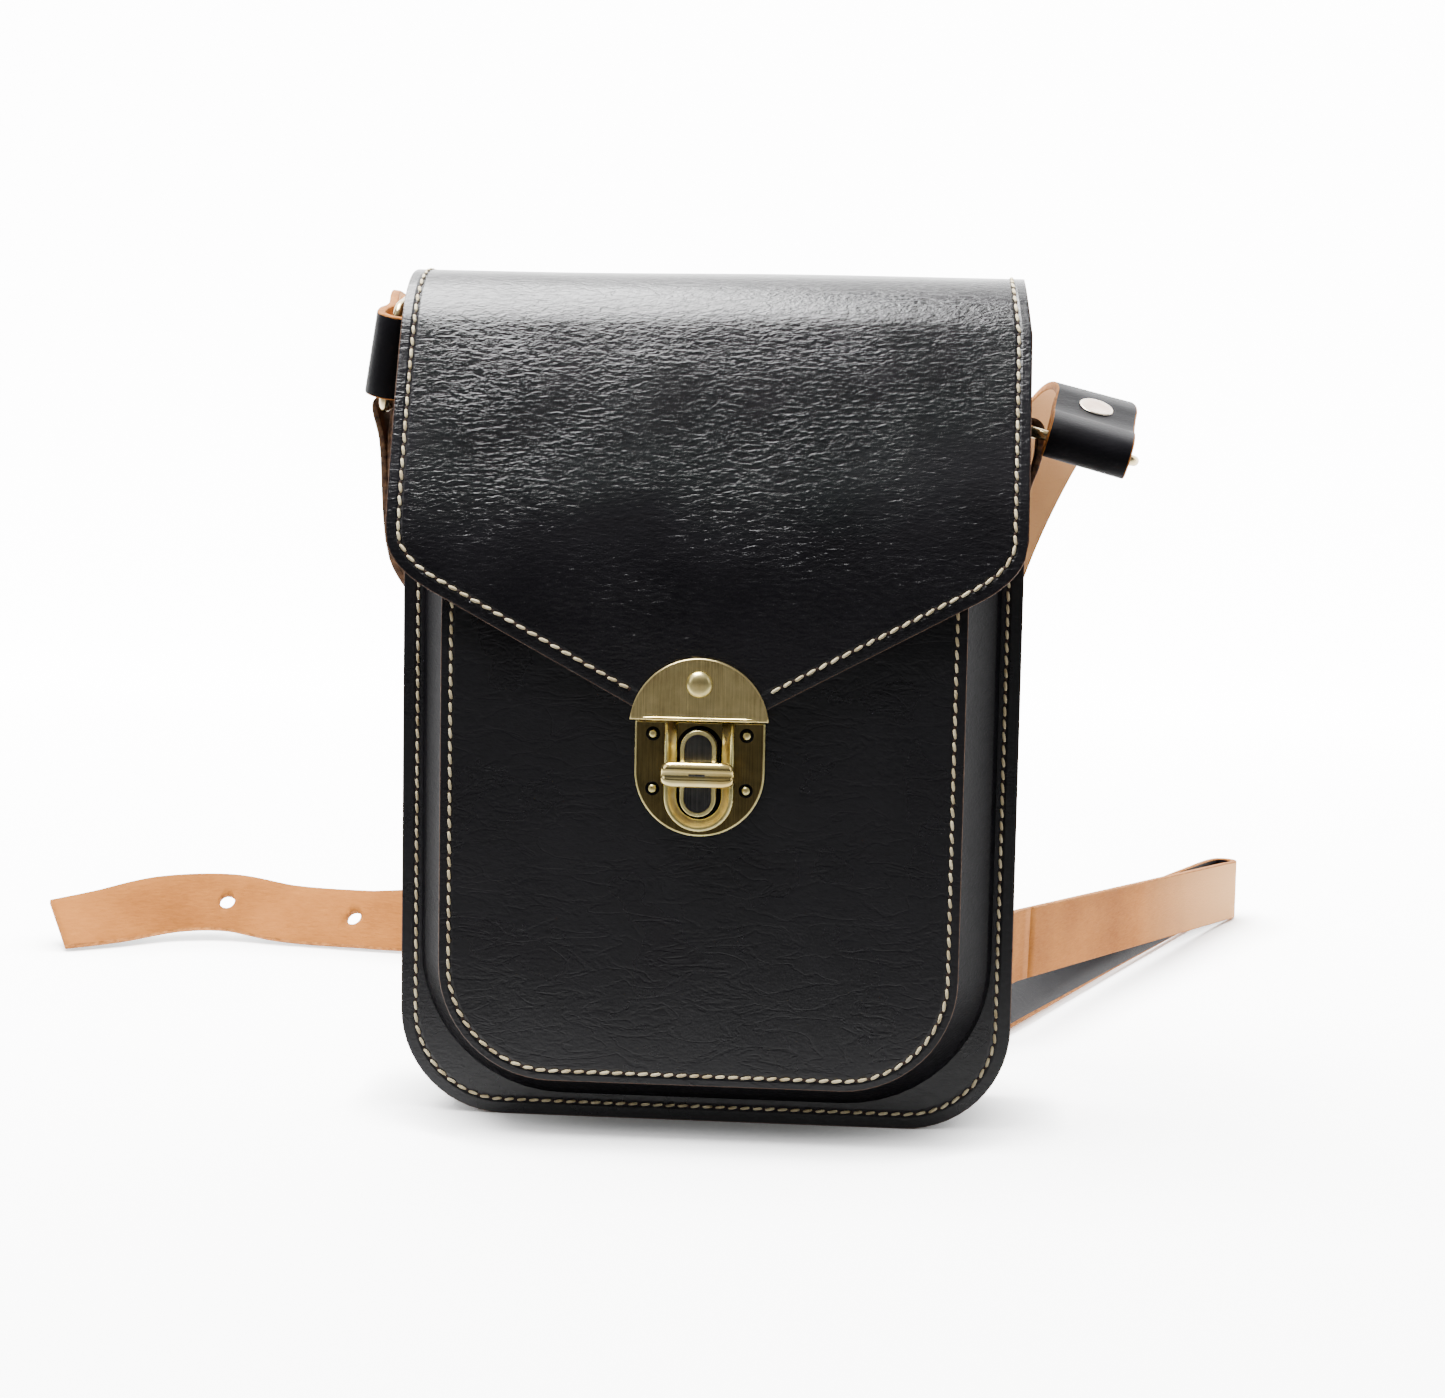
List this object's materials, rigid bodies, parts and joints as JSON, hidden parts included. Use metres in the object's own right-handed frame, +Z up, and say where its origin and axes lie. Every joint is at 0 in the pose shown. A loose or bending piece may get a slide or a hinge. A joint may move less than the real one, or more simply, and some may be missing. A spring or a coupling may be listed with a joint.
{
  "type": "crossbody sling bag",
  "caption": "Small upright stiff leather crossbody bag with a front pocket, a full-width pointed flap, a turn lock, side rings and an unbuckled two-piece strap.",
  "frame": {"origin": "on the floor, under the middle of the main compartment in width and depth", "axes": "+X to the bag's right as seen from its front, +Y from the front to the back, +Z up"},
  "size_m": [0.4631, 0.4019, 0.2433],
  "materials": {
    "black_leather": "smooth pebbled calf with a soft sheen",
    "tan_leather": "undyed fibrous flesh side",
    "antique_brass": "brushed antique",
    "polished_brass": "polished",
    "dark_inlay": "darkened, matt",
    "pale_metal": "pale copper, satin"
  },
  "bodies": {
    "bag": {"back_panel": "black_leather", "front_panel": "black_leather", "main_gusset": "black_leather", "pocket_front": "black_leather", "pocket_gusset": "black_leather", "tab_left": "black_leather", "tab_right": "black_leather", "lock_plate": "antique_brass", "lock_back_plate": "antique_brass", "lock_boss": "dark_inlay", "lock_nail_1": "antique_brass", "lock_nail_2": "antique_brass", "lock_nail_3": "antique_brass", "lock_nail_4": "antique_brass"},
    "turn_knob": {"turn_knob": "polished_brass", "knob_clip": "antique_brass"},
    "flap_top": {"flap_top_leather": "black_leather", "flap_top_lining": "tan_leather"},
    "flap_front": {"flap_front_leather": "black_leather", "flap_front_lining": "tan_leather", "hasp_cover": "antique_brass", "hasp_loop": "antique_brass", "hasp_rivet": "antique_brass"},
    "ring_left": {"ring_left": "antique_brass"},
    "ring_right": {"ring_right": "antique_brass"},
    "strap_left_upper": {"strap_left_upper": "black_leather", "strap_left_rivet": "pale_metal"},
    "strap_left_tongue": {"strap_left_tongue": "tan_leather"},
    "strap_right_upper": {"strap_right_upper": "black_leather", "strap_right_rivet": "pale_metal"},
    "strap_right_out": {"strap_right_out": "tan_leather"},
    "strap_right_return": {"strap_right_return": "black_leather", "buckle_rivet": "pale_metal"},
    "buckle_frame": {"buckle_frame": "antique_brass"},
    "buckle_prong": {"buckle_prong": "antique_brass"},
    "strap_keeper": {"strap_keeper": "black_leather"}
  },
  "joints": [
    {"name": "flap_back", "type": "hinge", "parent": "bag", "child": "flap_top", "pos_m": [0, 0.0215, 0.2375], "axis": [-1, 0, 0], "range_deg": [0, 180]},
    {"name": "flap_fold", "type": "hinge", "parent": "flap_top", "child": "flap_front", "pos_m": [0, -0.022, 0.2326], "axis": [-1, 0, 0], "range_deg": [0, 90]},
    {"name": "knob_turn", "type": "hinge", "parent": "bag", "child": "turn_knob", "pos_m": [0, -0.05, 0.1049], "axis": [0, 1, 0], "range_deg": [0, 90]},
    {"name": "ring_left_swing", "type": "hinge", "parent": "bag", "child": "ring_left", "pos_m": [-0.0968, 0, 0.205], "axis": [0, 0.9781, 0.2079], "range_deg": [-8, 0]},
    {"name": "ring_right_swing", "type": "hinge", "parent": "bag", "child": "ring_right", "pos_m": [0.0892, 0, 0.1998], "axis": [0, 1, 0], "range_deg": [-12, 0]},
    {"name": "strap_left_swing", "type": "hinge", "parent": "ring_left", "child": "strap_left_upper", "pos_m": [-0.09368, -0.01459, 0.21831], "axis": [0.1908, -0.2041, 0.9602], "range_deg": [0, 50]},
    {"name": "strap_left_bend", "type": "hinge", "parent": "strap_left_upper", "child": "strap_left_tongue", "pos_m": [-0.09, 0.197, 0.0136], "axis": [0, 0, 1], "range_deg": [-15, 25]},
    {"name": "strap_right_lift", "type": "hinge", "parent": "ring_right", "child": "strap_right_upper", "pos_m": [0.10499, -0.015, 0.19557], "axis": [0.9659, 0, -0.2588], "range_deg": [0, 30]},
    {"name": "strap_right_bend", "type": "hinge", "parent": "strap_right_upper", "child": "strap_right_out", "pos_m": [0.092, 0.105, 0.03], "axis": [0, 0, 1], "range_deg": [-50, 0]},
    {"name": "strap_right_fold", "type": "hinge", "parent": "strap_right_out", "child": "strap_right_return", "pos_m": [0.1891, 0.3425, 0.0131], "axis": [0, 0, 1], "range_deg": [-10, 0]},
    {"name": "buckle_hinge", "type": "hinge", "parent": "strap_right_return", "child": "buckle_frame", "pos_m": [0, 0.064, 0.0054], "axis": [0, 1, 0], "range_deg": [0, 45]},
    {"name": "prong_hinge", "type": "hinge", "parent": "buckle_frame", "child": "buckle_prong", "pos_m": [0, 0.064, 0.0054], "axis": [0, 1, 0], "range_deg": [0, 60]},
    {"name": "keeper_slide", "type": "slide", "parent": "strap_right_return", "child": "strap_keeper", "axis": [1, 0, 0], "range_m": [-0.003, 0.004]}
  ]
}
